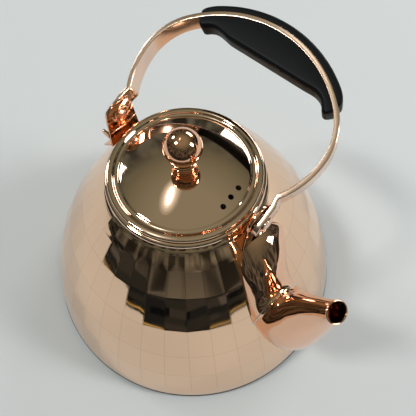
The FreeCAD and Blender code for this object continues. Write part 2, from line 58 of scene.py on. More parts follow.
LID_LEVEL, LID_RADIUS, LID_TURN = 108.0, 36.0, 5.5
LID_CROWN, LID_DOME_ARC = 113.2, 114.0
DOME_EDGE = 29.6
STEAM_ROW, STEAM_PITCH, STEAM_HOLE = 25.4, 5.8, 1.3

BALL_RADIUS, BALL_LEVEL = 8.6, 126.4
SCREW_RADIUS = 2.0

PIVOT_LEVEL, HANDLE_SWING = 114.8, 66.3
FOOT_CENTRE, FOOT_DROP = 44.7, 6.5
STRAP_THICK, STRAP_WIDTH = 2.4, 9.0
CROWN_ARC, CROWN_CENTRE = 58.7, 11.3
SHOULDER_ARC, SHOULDER_ANGLE = 28.9, 44.0
LEG_ARC, LEG_ANGLE = 40.0, 31.2
GRIP_BELLY, COVER_THICK = 55.2, 3.0
GRIP_SPAN, COVER_SPAN = (-38.3, 44.6), (-37.2, 42.6)   # along the crown, towards -X and +X

EAR_FACE, EAR_THICK, EAR_RADIUS, EAR_FOOT = 41.8, 1.2, 8.0, 98.7
SPOUT_TURN = -8.0

rng = random.Random(11)


# ------------------------------------------------------------------ small geometry helpers
def polar(angle, radius):
    """x and y of a point at an angle in degrees."""
    return radius * math.cos(math.radians(angle)), radius * math.sin(math.radians(angle))


def arc(cx, cy, radius, start, stop, steps):
    """Points on an arc, both ends included."""
    points = []
    for i in range(steps + 1):
        dx, dy = polar(start + (stop - start) * i / steps, radius)
        points.append((cx + dx, cy + dy))
    return points


def rounded(corners, steps=6):
    """An outline whose corners (x, y, radius) are replaced by arcs; radius 0 stays sharp."""
    result = []
    count = len(corners)
    for i, (x, y, radius) in enumerate(corners):
        here = Vector((x, y))
        before = Vector(corners[i - 1][:2]) - here
        after = Vector(corners[(i + 1) % count][:2]) - here
        if radius <= 0:
            result.append((x, y))
            continue
        turn = before.angle(after)
        reach = min(radius / math.tan(turn / 2), before.length * 0.49, after.length * 0.49)
        radius = reach * math.tan(turn / 2)
        inward = (before.normalized() + after.normalized()).normalized()
        centre = here + inward * (radius / math.sin(turn / 2))
        a = here + before.normalized() * reach - centre
        b = here + after.normalized() * reach - centre
        first = math.atan2(a.y, a.x)
        sweep = (math.atan2(b.y, b.x) - first + math.pi) % (2 * math.pi) - math.pi
        for k in range(steps + 1):
            angle = first + sweep * k / steps
            result.append((centre.x + radius * math.cos(angle), centre.y + radius * math.sin(angle)))
    return result


def smooth_step(t):
    """Eases 0 to 1 with level ends; t is held to that range."""
    t = min(max(t, 0.0), 1.0)
    return t * t * (3 - 2 * t)


def spline(knots, t):
    """Catmull-Rom through rows of numbers; t runs from 0 to 1 over the whole list."""
    last = len(knots) - 1
    place = min(max(t, 0.0), 1.0) * last
    i = min(int(place), last - 1)
    u = place - i
    p0, p1, p2, p3 = (knots[min(max(k, 0), last)] for k in (i - 1, i, i + 1, i + 2))
    result = []
    for a, b, c, d in zip(p0, p1, p2, p3):
        square, cube = 2 * a - 5 * b + 4 * c - d, 3 * b - a - 3 * c + d
        result.append(0.5 * (2 * b + (c - a) * u + square * u * u + cube * u ** 3))
    return result


def piece(name, verts, faces, body, material, stands_for=(), crease=38.0, matrix=None):
    """A mesh object from millimetre vertices that rides on a CAD body."""
    mesh = bpy.data.meshes.new(name)
    matrix = matrix or Matrix.Identity(4)
    placed = [(matrix @ Vector(v)) * MM for v in verts]
    mesh.from_pydata([tuple(v) for v in placed], [], faces)
    mesh.validate()
    tidy = bmesh.new()
    tidy.from_mesh(mesh)
    bmesh.ops.remove_doubles(tidy, verts=tidy.verts, dist=1e-7)
    bmesh.ops.recalc_face_normals(tidy, faces=tidy.faces)
    tidy.to_mesh(mesh)
    tidy.free()
    mesh.shade_smooth()
    mesh.set_sharp_from_angle(angle=math.radians(crease))
    mesh.materials.append(material)
    obj = bpy.data.objects.new(name, mesh)
    bpy.context.scene.collection.objects.link(obj)
    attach(obj, body)
    if stands_for:
        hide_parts(*stands_for)
    return obj


def lathe(profile, segments=180, closed=True):
    """Vertices and faces of a profile of (radius, height) turned about Z."""
    verts = []
    for k in range(segments):
        turn = 2 * math.pi * k / segments
        verts += [(r * math.cos(turn), r * math.sin(turn), z) for r, z in profile]
    faces = []
    n = len(profile)
    for k in range(segments):
        a, b = k * n, ((k + 1) % segments) * n
        for i in range(n if closed else n - 1):
            j = (i + 1) % n
            faces.append((a + i, b + i, b + j, a + j))
    return verts, faces


def loft(rings, caps=True):
    """Vertices and faces through rings of equally many points."""
    n = len(rings[0])
    verts = [p for ring in rings for p in ring]
    faces = []
    for k in range(len(rings) - 1):
        for i in range(n):
            j = (i + 1) % n
            faces.append((k * n + i, k * n + j, (k + 1) * n + j, (k + 1) * n + i))
    if caps:
        faces.append(tuple(range(n - 1, -1, -1)))
        faces.append(tuple(range((len(rings) - 1) * n, len(rings) * n)))
    return verts, faces


def plate(outline, low, high, edge=0.25):
    """A flat plate: the outline in local x, y between heights low and high, its rims eased."""
    centre = Vector((sum(p[0] for p in outline) / len(outline), sum(p[1] for p in outline) / len(outline)))

    def inset(amount):
        """The outline moved inwards."""
        ring = []
        count = len(outline)
        for i in range(count):
            here = Vector(outline[i])
            along = (Vector(outline[(i + 1) % count]) - Vector(outline[i - 1])).normalized()
            normal = Vector((along.y, -along.x))
            if normal.dot(here - centre) > 0:
                normal = -normal
            ring.append(here + normal * amount)
        return ring

    # the easing counted from the rim: 0 is upright, 90 lies in the plate's face
    bottom, top = [], []
    for a in (0, 30, 60, 90):
        slip = edge * (1 - math.cos(math.radians(a)))
        rise = edge * (1 - math.sin(math.radians(a)))
        ring = inset(slip)
        bottom.insert(0, [(p.x, p.y, low + rise) for p in ring])
        top.append([(p.x, p.y, high - rise) for p in ring])
    return loft(bottom + top)


# ------------------------------------------------------------------ materials
def metal(name, colour, roughness, smudge=0.03, ripple=0.0):
    """Polished metal with faint smudges in its gloss and, if asked, a faint ripple."""
    material = bpy.data.materials.new(name)
    material.use_nodes = True
    nodes, links = material.node_tree.nodes, material.node_tree.links
    shader = nodes["Principled BSDF"]
    shader.inputs["Base Color"].default_value = (*colour, 1)
    shader.inputs["Metallic"].default_value = 1.0
    place = nodes.new("ShaderNodeTexCoord")
    noise = nodes.new("ShaderNodeTexNoise")
    noise.inputs["Scale"].default_value = 45.0
    noise.inputs["Detail"].default_value = 3.0
    links.new(place.outputs["Object"], noise.inputs["Vector"])
    spread = nodes.new("ShaderNodeMapRange")
    spread.inputs["From Min"].default_value = 0.35
    spread.inputs["From Max"].default_value = 0.75
    spread.inputs["To Min"].default_value = roughness
    spread.inputs["To Max"].default_value = roughness + smudge
    links.new(noise.outputs["Fac"], spread.inputs["Value"])
    links.new(spread.outputs["Result"], shader.inputs["Roughness"])
    if ripple > 0:
        waves = nodes.new("ShaderNodeTexNoise")
        waves.inputs["Scale"].default_value = 90.0
        waves.inputs["Detail"].default_value = 1.0
        bump = nodes.new("ShaderNodeBump")
        bump.inputs["Strength"].default_value = ripple
        bump.inputs["Distance"].default_value = 0.0004
        links.new(place.outputs["Object"], waves.inputs["Vector"])
        links.new(waves.outputs["Fac"], bump.inputs["Height"])
        links.new(bump.outputs["Normal"], shader.inputs["Normal"])
    return material


def paint_edge_shade(material, attribute, dark):
    """Painted shade: darkens the metal's colour where a vertex attribute is high."""
    nodes, links = material.node_tree.nodes, material.node_tree.links
    shader = nodes["Principled BSDF"]
    reader = nodes.new("ShaderNodeAttribute")
    reader.attribute_name = attribute
    mix = nodes.new("ShaderNodeMix")
    mix.data_type = "RGBA"
    mix.inputs["A"].default_value = shader.inputs["Base Color"].default_value[:]
    mix.inputs["B"].default_value = (*dark, 1)
    links.new(reader.outputs["Fac"], mix.inputs["Factor"])
    links.new(mix.outputs["Result"], shader.inputs["Base Color"])


def grip_plastic(name):
    """Satin black moulded plastic with a fine grain."""
    material = bpy.data.materials.new(name)
    material.use_nodes = True
    nodes, links = material.node_tree.nodes, material.node_tree.links
    shader = nodes["Principled BSDF"]
    shader.inputs["Base Color"].default_value = (0.003, 0.0045, 0.0055, 1)
    shader.inputs["Roughness"].default_value = 0.44
    shader.inputs["Specular IOR Level"].default_value = 0.16
    place = nodes.new("ShaderNodeTexCoord")
    grain = nodes.new("ShaderNodeTexNoise")
    grain.inputs["Scale"].default_value = 1500.0
    bump = nodes.new("ShaderNodeBump")
    bump.inputs["Strength"].default_value = 0.12
    bump.inputs["Distance"].default_value = 0.0002
    links.new(place.outputs["Object"], grain.inputs["Vector"])
    links.new(grain.outputs["Fac"], bump.inputs["Height"])
    links.new(bump.outputs["Normal"], shader.inputs["Normal"])
    return material


ROSE = (0.91, 0.625, 0.435)
HAMMERED = metal("hammered_copper_mat", ROSE, 0.035, 0.03, 0.02)
# painted shade: the hammered copper is darkened along the facets' edges, where the tiles meet
paint_edge_shade(HAMMERED, "tile_edge_shade", (0.73, 0.475, 0.32))
POLISHED = metal("polished_copper_mat", (0.92, 0.66, 0.50), 0.03, 0.03)
BRACKET = metal("bracket_copper_mat", (0.93, 0.52, 0.33), 0.06, 0.05)
SPOUT = metal("spout_copper_mat", (0.93, 0.56, 0.38), 0.05, 0.04)
HANDLE = metal("handle_copper_mat", (0.93, 0.68, 0.54), 0.17, 0.06)
WELD = metal("weld_line_mat", (0.86, 0.82, 0.78), 0.30, 0.08)
STEEL = metal("plain_steel_mat", (0.60, 0.59, 0.57), 0.22, 0.08)
# near-black metal for the seam ring at the foot: painted shade standing in for the shadow in the gap under
# the body wall
BASE_GAP_SHADE = metal("base_gap_shade_mat", (0.10, 0.09, 0.075), 0.30, 0.05)
GRIP = grip_plastic("grip_black_mat")


# ------------------------------------------------------------------ vessel
def dome_radius(z):
    """Outer radius of the domed body at height z."""
    foot, neck = Vector((BODY_RADIUS, BODY_FOOT)), Vector((NECK_RADIUS, BODY_TOP))
    chord = neck - foot
    inward = Vector((-chord.y, chord.x)).normalized()
    centre = (foot + neck) / 2 + inward * math.sqrt(DOME_ARC ** 2 - chord.length_squared / 4)
    return centre.x + math.sqrt(DOME_ARC ** 2 - (z - centre.y) ** 2)


def facet_radius(z):
    """Radius along a facet's edge: between two rows it is pulled part of the way to a chord."""
    for low, high in zip(GORE_ROWS, GORE_ROWS[1:]):
        if low <= z <= high:
            share = (z - low) / (high - low)
            chord = dome_radius(low) + (dome_radius(high) - dome_radius(low)) * share
            return dome_radius(z) + (chord - dome_radius(z)) * 0.8
    return dome_radius(z)


def faceted_body():
    """The body as flat gores that fade out under the collar and above the foot."""
    step = 360.0 / GORES
    ridge = 0.05            # share of a gore's half width that its worked edge takes
    stations = (-1.0, -1.0 + ridge * 0.5, -1.0 + ridge, -0.5, 0.0, 0.5, 1.0 - ridge, 1.0 - ridge * 0.5)
    groove = {-1.0: 0.05, -1.0 + ridge * 0.5: 0.035, 1.0 - ridge * 0.5: 0.035}
    levels = [BODY_LOW + (BODY_TOP - BODY_LOW) * i / 80 for i in range(81)]
    for row in GORE_ROWS:
        levels = [z for z in levels if abs(z - row) > 0.8]
        levels += [row - 0.35, row, row + 0.35]
    levels = sorted(levels)
    nudge = {(k, j): rng.uniform(-0.1, 0.1) for k in range(GORES) for j in range(len(GORE_ROWS))}

    def offset(k, z):
        """Small unevenness of a facet's edge, smooth between the rows."""
        for j in range(len(GORE_ROWS) - 1):
            low, high = GORE_ROWS[j], GORE_ROWS[j + 1]
            if low <= z <= high:
                share = (z - low) / (high - low)
                return nudge[k % GORES, j] * (1 - share) + nudge[k % GORES, j + 1] * share
        return 0.0

    outer = []
    for z in levels:
        strength = smooth_step((z - GORE_FOOT + 4) / 4) * smooth_step((GORE_TOP + 2.5 - z) / 2.5)
        ring = []
        for k in range(GORES):
            left = facet_radius(z) + offset(k, z)
            right = facet_radius(z) + offset(k + 1, z)
            for u in stations:
                angle = step * u / 2
                flat_corner = left + (right - left) * (u + 1) / 2
                flat = flat_corner * math.cos(math.radians(step / 2)) / math.cos(math.radians(angle))
                flat -= groove.get(u, 0.0)
                radius = dome_radius(z) + (flat - dome_radius(z)) * strength
                x, y = polar(GORE_START + step * (k + 0.5) + angle, radius)
                ring.append((x, y, z))
        outer.append(ring)
    inner = []
    for z in reversed(levels):
        ring = []
        for k in range(GORES):
            for u in stations:
                x, y = polar(GORE_START + step * (k + 0.5 + u / 2), dome_radius(z) - WALL - 0.35)
                ring.append((x, y, z))
        inner.append(ring)
    rings = outer + inner + [outer[0]]
    verts, faces = loft(rings, caps=False)
    obj = piece("body_skin", verts, faces, "vessel", HAMMERED, ["body_shell"], crease=60)
    # where the painted shade falls: along the facets' upright and level edges, faded out at the foot and
    # under the collar
    edge_shade = obj.data.attributes.new("tile_edge_shade", "FLOAT", "POINT")
    for vertex in obj.data.vertices:
        x, y, z = (c / MM for c in vertex.co)
        turn = ((math.degrees(math.atan2(y, x)) - GORE_START) / step + 0.5) % 1.0 - 0.5
        upright_edge = max(0.0, 1 - abs(turn) * 2 / (ridge * 0.75))
        level_edge = max(max(0.0, 1 - abs(z - row) / 0.3) for row in GORE_ROWS[1:-1])
        reach = smooth_step((z - GORE_FOOT + 4) / 4) * smooth_step((GORE_TOP + 1 - z) / 2)
        edge_shade.data[vertex.index].value = max(upright_edge, level_edge * 0.8) * reach
    weighted = obj.modifiers.new("even_normals", "WEIGHTED_NORMAL")
    weighted.keep_sharp = True
    weighted.weight = 90
    return obj


def collar():
    """Neck ring: a short neck that sweeps up out of the dome into a rolled bead."""
    top = BEAD_LEVEL + BEAD_RADIUS
    profile = [(dome_radius(101.6) - 0.1, 101.3), (dome_radius(101.6) + 0.02, 101.6)]
    profile += [(38.15, 102.6), (37.3, 103.6), (36.75, 104.3), (36.5, 104.9)]
    profile += arc(BEAD_CENTRE, BEAD_LEVEL, BEAD_RADIUS, -75, 90, 18)
    profile += [(MOUTH_RADIUS + 0.4, top), (MOUTH_RADIUS, top - 0.4), (MOUTH_RADIUS, 98.0),
                (MOUTH_RADIUS + WALL, 98.0), (MOUTH_RADIUS + WALL, 101.0)]
    verts, faces = lathe(profile, 220)
    return piece("collar", verts, faces, "vessel", POLISHED, ["neck_ring"], crease=50)


def base():
    """Base disc, and a real seam ring where the body wall is rolled over it, coloured near black as painted
    shade for the shadow in that gap.
    """
    profile = [(85.2, 0.4), (86.6, 0.4), (87.4, 0.7), (87.85, 1.4), (87.97, 2.6), (87.97, 3.8), (87.85, 4.7),
               (87.5, 5.4), (86.9, 5.8), (85.2, 5.9)]
    verts, faces = lathe(profile, 220)
    piece("base_gap_shade", verts, faces, "vessel", BASE_GAP_SHADE)
    disc = [(0.001, 0.0), (81.6, 0.0)] + arc(82.0, 2.0, 2.0, -90, 0, 8) + [(84.0, 2.95), (0.001, 2.95)]
    verts, faces = lathe(disc, 180)
    piece("base_disc", verts, faces, "vessel", STEEL, ["base_cap"])


# ------------------------------------------------------------------ lid
def cut_steam_holes(obj, turn):
    """Cuts a row of three round holes down through the lid and keeps the result as its mesh."""
    below, above, around = 105, 115, 32
    all_verts, all_faces = [], []
    for k in (-1, 0, 1):
        ring = [polar(360 * i / around, STEAM_HOLE) for i in range(around)]
        verts, faces = loft([[(x + STEAM_ROW, y + STEAM_PITCH * k, z) for x, y in ring]
                             for z in (below, above)])
        start = len(all_verts)
        all_verts += [tuple((turn @ Vector(v)) * MM) for v in verts]
        all_faces += [tuple(i + start for i in face) for face in faces]
    cutter_mesh = bpy.data.meshes.new("steam_cutter")
    cutter_mesh.from_pydata(all_verts, [], all_faces)
    cutter = bpy.data.objects.new("steam_cutter", cutter_mesh)
    bpy.context.scene.collection.objects.link(cutter)
    cut = obj.modifiers.new("steam_holes", "BOOLEAN")
    cut.object = cutter
    cut.operation = "DIFFERENCE"
    cut.solver = "EXACT"
    bpy.context.view_layer.update()
    done = bpy.data.meshes.new_from_object(obj.evaluated_get(bpy.context.evaluated_depsgraph_get()))
    obj.modifiers.clear()
    obj.data = done
    obj.data.name = "lid_top"
    bpy.data.objects.remove(cutter)


def lid():
    """Lid: a rolled rim, a channel and a shallow dome, with three steam holes."""
    thick = 0.6
    brim = LID_LEVEL + 1.9
    channel = LID_LEVEL + 0.7
    edge_z = LID_LEVEL + 1.3
    bore = SCREW_RADIUS + 0.1
    rise = math.degrees(math.asin(DOME_EDGE / LID_DOME_ARC))
    centre_z = edge_z - LID_DOME_ARC * math.cos(math.radians(rise))
    dome = []
    for i in range(41):
        angle = math.radians(rise * (1 - i / 40))
        radius = max(LID_DOME_ARC * math.sin(angle), bore)
        dome.append((radius, centre_z + LID_DOME_ARC * math.cos(angle)))
    profile = [(LID_RADIUS - 0.5, LID_LEVEL), (LID_RADIUS - 0.1, LID_LEVEL)]
    profile += arc(LID_RADIUS - 1.0, brim - 1.0, 1.0, 0, 90, 8)
    profile += arc(33.9, brim - 1.2, 1.2, 90, 150, 6)
    profile += [(32.4, channel + 0.12), (31.9, channel), (31.0, channel), (30.6, channel + 0.1),
                (30.2, channel + 0.38)]
    profile += dome
    profile += [(r, z - thick) for r, z in reversed(dome)]
    profile += [(31.2, channel - thick), (32.6, channel - thick), (33.4, brim - 1.1 - thick),
                (34.6, brim - thick), (LID_RADIUS - 0.8, brim - thick - 0.4)]
    verts, faces = lathe(profile, 240)
    turn = Matrix.Rotation(math.radians(LID_TURN), 4, "Z")
    obj = piece("lid_top", verts, faces, "lid", POLISHED, ["lid_cover"], crease=40,
                matrix=turn)
    cut_steam_holes(obj, turn)
    obj.data.set_sharp_from_angle(angle=math.radians(40))
    return obj


def knob():
    """Ball knob on a flared stem of rolled ribs."""
    foot = LID_CROWN - 0.15
    profile = [(SCREW_RADIUS + 0.1, foot), (4.9, foot)] + arc(4.5, foot + 0.5, 0.45, -60, 90, 6)
    ribs = ((4.9, 0.95), (5.8, 1.0), (6.7, 1.05))
    level = foot + 0.9
    for radius, half in ribs:
        profile += [(radius - half + dx, level + half * 0.88 + dy * 0.88)
                    for dx, dy in arc(0, 0, half, -78, 78, 12)]
        level += half * 1.76
    profile += [(4.3, level + 0.25), (SCREW_RADIUS + 0.1, level + 0.25)]
    verts, faces = lathe(profile, 120)
    piece("knob_neck", verts, faces, "lid", BRACKET, ["knob_stem"], crease=45)
    ball = [(r, BALL_LEVEL + z) for r, z in arc(0, 0, BALL_RADIUS, -61, 90, 60)]
    ball[-1] = (0.001, BALL_LEVEL + BALL_RADIUS)
    ball += [(0.001, BALL_LEVEL - 7.2)]
    verts, faces = lathe(ball, 140)
    piece("knob_top", verts, faces, "lid", BRACKET, ["knob_ball"], crease=50)


# ------------------------------------------------------------------ handle
SWING = Matrix.Translation((0, 0, PIVOT_LEVEL)) @ Matrix.Rotation(math.radians(-HANDLE_SWING), 4, "X")


def strap_path():
    """Centre line of the strap in its own upright plane, from the +X foot to the -X foot,
    as (x, z, heading of the outward normal in degrees)."""
    crown, shoulder, leg = CROWN_ARC, SHOULDER_ARC, LEG_ARC
    sx, sy = polar(90 - SHOULDER_ANGLE, crown - shoulder)
    shoulder_x, shoulder_z = sx, CROWN_CENTRE + sy
    bulge_x = shoulder_x + shoulder
    leg_centre = bulge_x - leg
    lx, lz = polar(-LEG_ANGLE, leg)
    stop_x, stop_z = leg_centre + lx, shoulder_z + lz
    # foot, then the kink above the ear, then the leg
    kink, pitch = 4.5, 0.9
    foot_steps = int((stop_z - kink + FOOT_DROP) / pitch)
    half = [(FOOT_CENTRE, -FOOT_DROP + pitch * i, 0.0) for i in range(1 + foot_steps)]
    start_x, start_z, _ = half[-1]
    for i in range(1, 8):
        t = i / 8
        ease = smooth_step(t)
        half.append((start_x + (stop_x - start_x) * ease, start_z + (stop_z - start_z) * t,
                     -LEG_ANGLE * ease))
    for i in range(15):
        a = -LEG_ANGLE * (1 - i / 14)
        dx, dz = polar(a, leg)
        half.append((leg_centre + dx, shoulder_z + dz, a))
    for i in range(1, 16):
        a = (90 - SHOULDER_ANGLE) * i / 15
        dx, dz = polar(a, shoulder)
        half.append((shoulder_x + dx, shoulder_z + dz, a))
    for i in range(1, 25):
        a = 90 - SHOULDER_ANGLE + SHOULDER_ANGLE * i / 24
        dx, dz = polar(a, crown)
        half.append((dx, CROWN_CENTRE + dz, a))
    other = [(-x, z, 180 - a) for x, z, a in reversed(half[:-1])]
    return half + other


def strap():
    """Flat strap of the handle with eased corners and round feet."""
    half_thick, corner = STRAP_THICK / 2, 0.42
    path = strap_path()
    lengths = [0.0]
    for (x0, z0, _), (x1, z1, _) in zip(path, path[1:]):
        lengths.append(lengths[-1] + math.hypot(x1 - x0, z1 - z0))
    total = lengths[-1]
    rings = []
    extra = [0.02, 0.25, 0.7, 1.4, 2.3, 3.3]        # closer stations where a foot rounds off
    first_x, first_z, first_a = path[0]
    last_x, last_z, last_a = path[-1]
    stations = [((first_x, first_z + d, first_a), d) for d in extra]
    stations += [(p, s) for p, s in zip(path, lengths) if 4.0 < s < total - 4.0]
    stations += [((last_x, last_z + d, last_a), total - d) for d in reversed(extra)]
    for (x, z, a), s in stations:
        end = min(s, total - s)
        radius = STRAP_WIDTH / 2
        half_width = radius if end >= radius else math.sqrt(max(radius ** 2 - (radius - end) ** 2, 0.02))
        normal = Vector((math.cos(math.radians(a)), 0, math.sin(math.radians(a))))
        section = rounded([(-half_thick, -half_width, corner), (half_thick, -half_width, corner),
                           (half_thick, half_width, corner), (-half_thick, half_width, corner)], 4)
        rings.append([Vector((x, 0, z)) + normal * p + Vector((0, q, 0)) for p, q in section])
    verts, faces = loft(rings)
    return piece("handle_band", verts, faces, "handle", HANDLE, ["handle_strap"],
                 crease=50, matrix=SWING)


def arc_bar(low, high, half_width, angles, ease):
    """Rings of a bar that follows the crown: low(a) and high(a) are its radii at angle a."""
    rings = []
    for a in angles:
        direction = Vector((math.sin(math.radians(a)), 0, math.cos(math.radians(a))))
        base = Vector((0, 0, CROWN_CENTRE))
        r0, r1 = low(a), high(a)
        inner_ease, outer_ease = ease(r1 - r0)
        width = half_width(a)
        section = rounded([(r0, -width, inner_ease), (r1, -width, outer_ease),
                           (r1, width, outer_ease), (r0, width, inner_ease)], 6)
        rings.append([base + direction * r + Vector((0, q, 0)) for r, q in section])
    return rings


def grips():
    """Black grip: a thin cover over the strap and a deeper belly under it."""
    seat = CROWN_ARC + STRAP_THICK / 2

    def spread(span, count=76):
        """Angles over a span, closer together at its two ends."""
        middle, half = (span[0] + span[1]) / 2, (span[1] - span[0]) / 2
        return [middle - half * math.cos(math.pi * i / count) for i in range(count + 1)]

    def end_fade(a, reach, span):
        """0 at the ends of a span, rising on a quarter circle to 1 at reach degrees inside."""
        inside = min(a - span[0], span[1] - a)
        return math.sqrt(max(1 - (1 - min((inside + 0.01) / reach, 1.0)) ** 2, 0.0))

    def crest(a):
        """Radius of the cover's top, which thins to a lip at both ends."""
        lip = 0.7
        return seat + lip + (COVER_THICK - lip) * end_fade(a, 7, COVER_SPAN)

    cover = arc_bar(lambda a: seat, crest,
                    lambda a: STRAP_WIDTH / 2 - 0.5 + 0.5 * end_fade(a, 2, COVER_SPAN),
                    spread(COVER_SPAN), lambda t: (0.15, min(1.7, t * 0.6)))
    verts, faces = loft(cover)
    piece("grip_outer", verts, faces, "handle", GRIP, ["grip_cover"], crease=50, matrix=SWING)

    under = CROWN_ARC - STRAP_THICK / 2

    def belly(a):
        """Radius of the grip's lower face: a straight middle that curls up to thin ends."""
        flat = (GRIP_BELLY - CROWN_CENTRE) / math.cos(math.radians(a))
        tip = under - 4.6
        inside = min(a - GRIP_SPAN[0], GRIP_SPAN[1] - a)
        blend = smooth_step(1 - inside / 17)
        round_end = (1 - end_fade(a, 2.5, GRIP_SPAN)) * 1.8
        return min(flat * (1 - blend) + tip * blend + round_end, under - 1.0)

    lower = arc_bar(belly, lambda a: under,
                    lambda a: STRAP_WIDTH / 2 - 0.6 + 0.6 * end_fade(a, 1.5, GRIP_SPAN),
                    spread(GRIP_SPAN), lambda t: (min(2.2, t * 0.45), 0.15))
    verts, faces = loft(lower)
    piece("grip_belly", verts, faces, "handle", GRIP, ["grip_inner"], crease=50, matrix=SWING)


# ------------------------------------------------------------------ ears and pivots
def upright(side):
    """Local x, y, z of a plate become Y, Z and the outward direction along X."""
    return Matrix(((0, 0, side, 0), (1, 0, 0, 0), (0, 1, 0, 0), (0, 0, 0, 1)))


def torus(radius, tube, level, around=64, section=12):
    """A ring about Z at a height."""
    profile = [(radius + x, level + z) for x, z in arc(0, 0, tube, 0, 360 - 360 / section, section - 1)]
    return lathe(profile, around)


def bar(points, radius, section=10):
    """A round bar through points with smoothly closed ends."""
    rings = []
    count = len(points)
    for i, point in enumerate(points):
        here = Vector(point)
        along = (Vector(points[min(i + 1, count - 1)]) - Vector(points[max(i - 1, 0)])).normalized()
        side = along.cross(Vector((0, 0, 1))).normalized()
        up = side.cross(along)
        fade = math.sin(math.pi * min(max(i / (count - 1), 0.02), 0.98)) ** 0.5
        rings.append([here + (side * math.cos(a) + up * math.sin(a)) * radius * fade
                      for a in (2 * math.pi * k / section for k in range(section))])
    return loft(rings)


def ears():
    """Handle brackets: a plate with a boss and a ridge, and at the rear a flange and two tabs."""
    foot_half = EAR_RADIUS + 1.5
    outline = [(-foot_half, EAR_FOOT - 0.8), (foot_half, EAR_FOOT - 0.8)]
    outline += arc(0, PIVOT_LEVEL, EAR_RADIUS, 0, 180, 36)
    for label, side in (("front", 1), ("rear", -1)):
        verts, faces = plate(outline, EAR_FACE, EAR_FACE + EAR_THICK)
        piece(f"{label}_ear_plate", verts, faces, "vessel", BRACKET, [f"{label}_ear"],
              crease=50, matrix=upright(side))
        lift = Matrix.Translation((0, 0, PIVOT_LEVEL)) @ Matrix.Rotation(math.radians(90 * side), 4, "Y")
        verts, faces = torus(4.1, 0.75, EAR_FACE + 0.1)
        piece(f"{label}_ear_boss", verts, faces, "vessel", BRACKET, crease=60, matrix=lift)
        ridge = [(8.6 * t, PIVOT_LEVEL - 7.4 - 0.9 * math.cos(t * math.pi / 2), EAR_FACE + 0.15)
                 for t in (i / 12 - 1 for i in range(25))]
        verts, faces = bar(ridge, 0.75)
        piece(f"{label}_ear_ridge", verts, faces, "vessel", BRACKET, crease=60,
              matrix=upright(side))

    # weld flange and the two tabs that stop the handle, at the rear ear
    out = EAR_FACE + EAR_THICK
    flange = rounded([(out - 0.3, EAR_FOOT + 1.6, 0.3), (out + 7.2, EAR_FOOT - 5.8, 0.4),
                      (out + 6.5, EAR_FOOT - 6.6, 0.3), (out - 0.6, EAR_FOOT - 0.2, 0.3)], 4)
    across = Matrix(((-1, 0, 0, 0), (0, 0, 1, 0), (0, 1, 0, 0), (0, 0, 0, 1)))
    verts, faces = plate(flange, -foot_half, foot_half, 0.2)
    piece("rear_ear_flange", verts, faces, "vessel", BRACKET, crease=50, matrix=across)
    tab = rounded([(out - 0.4, PIVOT_LEVEL - 11.6, 0.3), (out + 4.5, PIVOT_LEVEL - 11.2, 0.8),
                   (out + 4.5, PIVOT_LEVEL - 8.0, 0.8), (out - 0.4, PIVOT_LEVEL - 7.5, 0.3)], 5)
    for label, low in (("near", -9.2), ("far", 8.0)):
        verts, faces = plate(tab, low, low + 1.2, 0.25)
        piece(f"rear_stop_tab_{label}", verts, faces, "vessel", BRACKET, crease=50,
              matrix=across)


def rivets():
    """Pivot rivets: a low dome outside the strap and a set head inside the ear."""
    inside = EAR_FACE
    outside = FOOT_CENTRE + STRAP_THICK / 2 + 0.2
    head, rim, dome = 3.6, 0.35, 0.85
    profile = [(0.001, inside - 1), (2.4, inside - 1), (3.1, inside - 0.6), (3.2, inside),
               (SCREW_RADIUS, inside), (SCREW_RADIUS, outside), (head - 0.1, outside), (head, outside + rim)]
    for a in range(10, 90, 8):
        x, z = polar(a, 1.0)
        profile.append((head * x, outside + rim + dome * z))
    profile.append((0.001, outside + rim + dome))
    for label, side in (("front", 1), ("rear", -1)):
        verts, faces = lathe(profile, 64)
        lay = Matrix.Translation((0, 0, PIVOT_LEVEL)) @ Matrix.Rotation(math.radians(90 * side), 4, "Y")
        piece(f"{label}_rivet", verts, faces, "vessel", HANDLE,
              [f"{label}_pivot_rivet"], crease=45, matrix=lay)


# ------------------------------------------------------------------ spout
# Stations along the spout in its own upright plane: the point on the back of the tube (x, z),
# the point on its belly (x, z), the half width across and the sideways shift of the middle.
# It is flattened where it leaves the body, fullest at the elbow, and narrow at the lip.
SPOUT_STATIONS = [
    (43.3, 98.9, 37.0, 90.0, 11.0, 6.5),
    (47.0, 97.4, 38.0, 84.0, 14.0, 7.5),
    (51.6, 94.6, 40.0, 77.5, 14.8, 6.0),
    (56.2, 91.0, 43.0, 71.0, 14.4, 4.2),
    (60.2, 86.4, 48.0, 63.5, 13.6, 2.4),
    (63.6, 81.8, 57.0, 54.0, 13.4, 1.0),
    (66.0, 80.2, 67.0, 48.5, 14.0, 0.2),
    (67.6, 81.4, 78.5, 48.5, 14.5, 0.0),
    (68.7, 84.2, 86.5, 54.0, 14.2, 0.0),
    (69.9, 88.2, 90.3, 63.0, 12.8, 0.0),
    (71.7, 93.5, 91.6, 74.0, 10.8, 0.0),
    (74.6, 99.8, 91.8, 87.0, 8.4, 0.0),
    (77.8, 106.4, 91.8, 99.0, 6.3, 0.0),
    (80.8, 112.6, 91.9, 108.0, 5.2, 0.0),
    (83.3, 117.6, 92.2, 114.0, 4.8, 0.0),
    (84.9, 121.4, 92.6, 116.8, 4.8, 0.0),
]
SEAM_STATION = 6            # the row of the list where the two parts of the spout meet
SPOUT_WALL = 0.7


